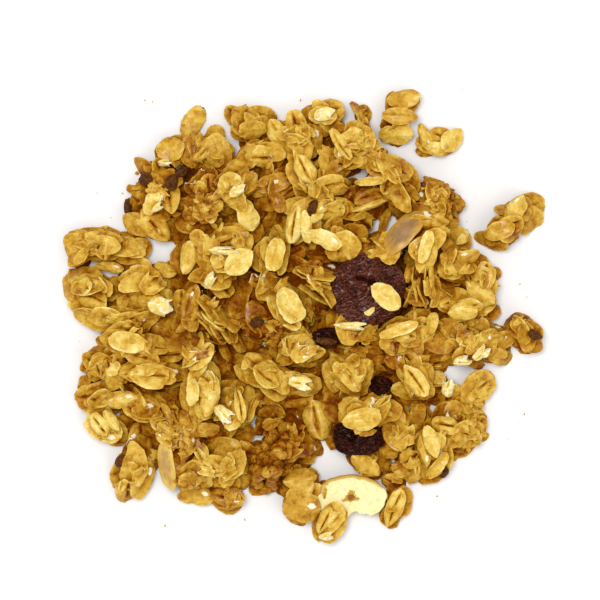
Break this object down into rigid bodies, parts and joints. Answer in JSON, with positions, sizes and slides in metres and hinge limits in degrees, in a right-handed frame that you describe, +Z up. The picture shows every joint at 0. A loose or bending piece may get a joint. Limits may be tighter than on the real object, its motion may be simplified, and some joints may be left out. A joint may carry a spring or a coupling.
{
  "type": "granola heap",
  "caption": "Loose heap of golden rolled oats stuck in clusters, with a piece of dark dried fruit, a broken banana chip and raisins, lying on a flat surface.",
  "frame": {"origin": "middle of the heap's bounding box, on the surface that it lies on", "axes": "+Z up, out of the heap; +X towards the side with the dried fruit and the long tail of oats; +Y away from the banana chip"},
  "size_m": [0.1213, 0.1141, 0.0167],
  "materials": {
    "oats": "glazed, honey gold to toasted brown",
    "dried_fruit": "finely wrinkled, dark maroon",
    "raisin": "wrinkled, nearly black",
    "banana": "matt cream, browned rim",
    "coconut": "translucent, glazed"
  },
  "bodies": {
    "root": {"granola_heap": "oats", "loose_cluster_north": "oats", "loose_cluster_north_east": "oats", "loose_cluster_east": "oats", "oat_on_fruit": "oats", "dried_fruit": "dried_fruit", "raisin_south": "raisin", "raisin_middle": "raisin", "raisin_east": "raisin", "banana_chip": "banana", "coconut_chip_east": "coconut", "coconut_chip_south_west": "coconut"}
  },
  "joints": []
}
